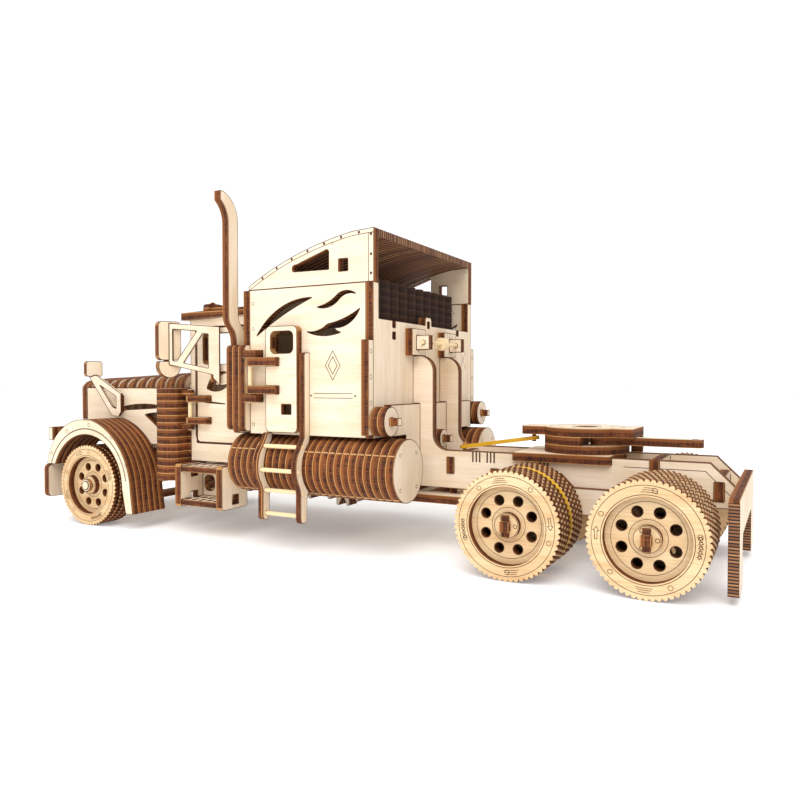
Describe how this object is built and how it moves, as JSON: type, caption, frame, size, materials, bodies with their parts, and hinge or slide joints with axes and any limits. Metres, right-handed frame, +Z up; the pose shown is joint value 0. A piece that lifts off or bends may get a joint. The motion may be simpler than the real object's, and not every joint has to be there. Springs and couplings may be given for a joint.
{
  "type": "wooden 3d jigsaw model truck tractor",
  "caption": "Laser-cut plywood model of a long-nose sleeper truck tractor: layered wheels that roll, linked steering, opening doors, tilting hood and a turntable coupling.",
  "frame": {"origin": "centre of the bounding box's underside, on the ground under the wheels", "axes": "+X forward along the truck, +Y to its left, +Z up"},
  "size_m": [0.384, 0.1404, 0.1798],
  "materials": {
    "birch_plywood": "bare laser-cut plywood, pale faces and burnt brown edges",
    "turned_stick": "bare birch dowel",
    "rubber_band": "matt yellow rubber"
  },
  "bodies": {
    "chassis": {"chassis_rails": "birch_plywood", "cross_members": "birch_plywood", "belly_plate": "birch_plywood", "deck_plate": "birch_plywood", "suspension_plates": "birch_plywood", "rear_mudflap_frame": "birch_plywood", "front_bumper": "birch_plywood", "turntable_base": "birch_plywood", "turntable_plate": "birch_plywood", "latch_band": "rubber_band", "front_axle_beam": "birch_plywood", "fenders": "birch_plywood", "fuel_tanks": "birch_plywood", "ladders": "birch_plywood", "step_boxes": "birch_plywood", "floor_plates": "birch_plywood", "cab_sides": "birch_plywood", "cab_front": "birch_plywood", "cab_roof": "birch_plywood", "air_cleaners": "birch_plywood", "hood_hinge_pin": "turned_stick", "sleeper_sides": "birch_plywood", "sleeper_front": "birch_plywood", "sleeper_rear": "birch_plywood", "sleeper_lower_panel": "birch_plywood", "roof_sides": "birch_plywood", "roof_skin": "birch_plywood", "bunk_stack": "birch_plywood", "mufflers": "birch_plywood", "exhaust_pipes": "birch_plywood", "shaft_brackets": "birch_plywood"},
    "latch": {"latch_lever": "birch_plywood"},
    "rear_axle_set": {"rear_axle": "birch_plywood", "rear_wheel_left": "birch_plywood", "rear_wheel_right": "birch_plywood"},
    "mid_axle_set": {"mid_axle": "birch_plywood", "mid_wheel_left": "birch_plywood", "mid_wheel_right": "birch_plywood", "traction_bands": "rubber_band"},
    "knuckle_left": {"steering_knuckle_left": "birch_plywood"},
    "knuckle_right": {"steering_knuckle_right": "birch_plywood"},
    "front_wheel_left_set": {"front_wheel_left": "birch_plywood"},
    "front_wheel_right_set": {"front_wheel_right": "birch_plywood"},
    "steering_rod": {"tie_rod": "birch_plywood"},
    "cab_door_left_set": {"cab_door_left": "birch_plywood", "door_mirror_left": "birch_plywood"},
    "cab_door_right_set": {"cab_door_right": "birch_plywood", "door_mirror_right": "birch_plywood"},
    "sleeper_door_left_set": {"sleeper_door_left": "birch_plywood"},
    "sleeper_door_right_set": {"sleeper_door_right": "birch_plywood"},
    "hood": {"hood_sides": "birch_plywood", "hood_ribs": "birch_plywood", "hood_grille": "birch_plywood", "hood_mirrors": "birch_plywood"},
    "drive_gear_set": {"drive_gear": "birch_plywood"},
    "idler_gear_set": {"idler_gear": "birch_plywood"},
    "release_shaft_set": {"release_shaft": "turned_stick"},
    "knob_left_set": {"winding_knob_left": "birch_plywood"},
    "knob_right_set": {"winding_knob_right": "birch_plywood"},
    "knob_centre_set": {"winding_knob_centre": "birch_plywood"}
  },
  "joints": [
    {"name": "rear_axle_spin", "type": "hinge", "parent": "chassis", "child": "rear_axle_set", "pos_m": [-0.16, 0, 0.0235], "axis": [0, 1, 0], "continuous": true},
    {"name": "mid_axle_spin", "type": "hinge", "parent": "chassis", "child": "mid_axle_set", "pos_m": [-0.103, 0, 0.0235], "axis": [0, 1, 0], "continuous": true},
    {"name": "steer_left", "type": "hinge", "parent": "chassis", "child": "knuckle_left", "pos_m": [0.155, 0.035, 0.0235], "axis": [0, 0, 1], "range_deg": [-15, 15]},
    {"name": "steer_right", "type": "hinge", "parent": "chassis", "child": "knuckle_right", "pos_m": [0.155, -0.035, 0.0235], "axis": [0, 0, 1], "range_deg": [-15, 15]},
    {"name": "steering_rod_slide", "type": "slide", "parent": "chassis", "child": "steering_rod", "axis": [0, 1, 0], "range_m": [-0.0037, 0.0037]},
    {"name": "front_wheel_left_spin", "type": "hinge", "parent": "knuckle_left", "child": "front_wheel_left_set", "pos_m": [0.155, 0.0535, 0.0235], "axis": [0, 1, 0], "continuous": true},
    {"name": "front_wheel_right_spin", "type": "hinge", "parent": "knuckle_right", "child": "front_wheel_right_set", "pos_m": [0.155, -0.0535, 0.0235], "axis": [0, 1, 0], "continuous": true},
    {"name": "latch_swing", "type": "hinge", "parent": "chassis", "child": "latch", "pos_m": [-0.131, 0.008, 0.0568], "axis": [0, 0, 1], "range_deg": [-15, 15]},
    {"name": "cab_door_left_swing", "type": "hinge", "parent": "chassis", "child": "cab_door_left_set", "pos_m": [0.0855, 0.0493, 0.068], "axis": [0, 0, -1], "range_deg": [0, 60]},
    {"name": "cab_door_right_swing", "type": "hinge", "parent": "chassis", "child": "cab_door_right_set", "pos_m": [0.0855, -0.0493, 0.068], "axis": [0, 0, 1], "range_deg": [0, 60]},
    {"name": "sleeper_door_left_swing", "type": "hinge", "parent": "chassis", "child": "sleeper_door_left_set", "pos_m": [0.0325, 0.0615, 0.087], "axis": [0, 0, -1], "range_deg": [0, 90]},
    {"name": "sleeper_door_right_swing", "type": "hinge", "parent": "chassis", "child": "sleeper_door_right_set", "pos_m": [0.0325, -0.0615, 0.087], "axis": [0, 0, 1], "range_deg": [0, 90]},
    {"name": "hood_tilt", "type": "hinge", "parent": "chassis", "child": "hood", "pos_m": [0.1845, 0, 0.04], "axis": [0, 1, 0], "range_deg": [0, 60]},
    {"name": "drive_gear_spin", "type": "hinge", "parent": "chassis", "child": "drive_gear_set", "pos_m": [0.0142, 0, 0.03], "axis": [0, 1, 0], "continuous": true},
    {"name": "idler_gear_spin", "type": "hinge", "parent": "chassis", "child": "idler_gear_set", "pos_m": [0.0402, 0, 0.03], "axis": [0, 1, 0], "continuous": true},
    {"name": "release_shaft_spin", "type": "hinge", "parent": "chassis", "child": "release_shaft_set", "pos_m": [-0.0455, 0, 0.104], "axis": [0, 1, 0], "continuous": true},
    {"name": "knob_left_spin", "type": "hinge", "parent": "chassis", "child": "knob_left_set", "pos_m": [-0.045, 0.0555, 0.0657], "axis": [1, 0, 0], "continuous": true},
    {"name": "knob_right_spin", "type": "hinge", "parent": "chassis", "child": "knob_right_set", "pos_m": [-0.045, -0.0555, 0.0657], "axis": [1, 0, 0], "continuous": true},
    {"name": "knob_centre_spin", "type": "hinge", "parent": "chassis", "child": "knob_centre_set", "pos_m": [-0.045, 0, 0.0544], "axis": [1, 0, 0], "continuous": true}
  ],
  "couplings": [
    {"joint": "steer_right", "follows": "steer_left", "ratio": 1},
    {"joint": "steering_rod_slide", "follows": "steer_left", "m_per_rad": -0.014},
    {"joint": "idler_gear_spin", "follows": "drive_gear_spin", "ratio": -1.1667}
  ]
}
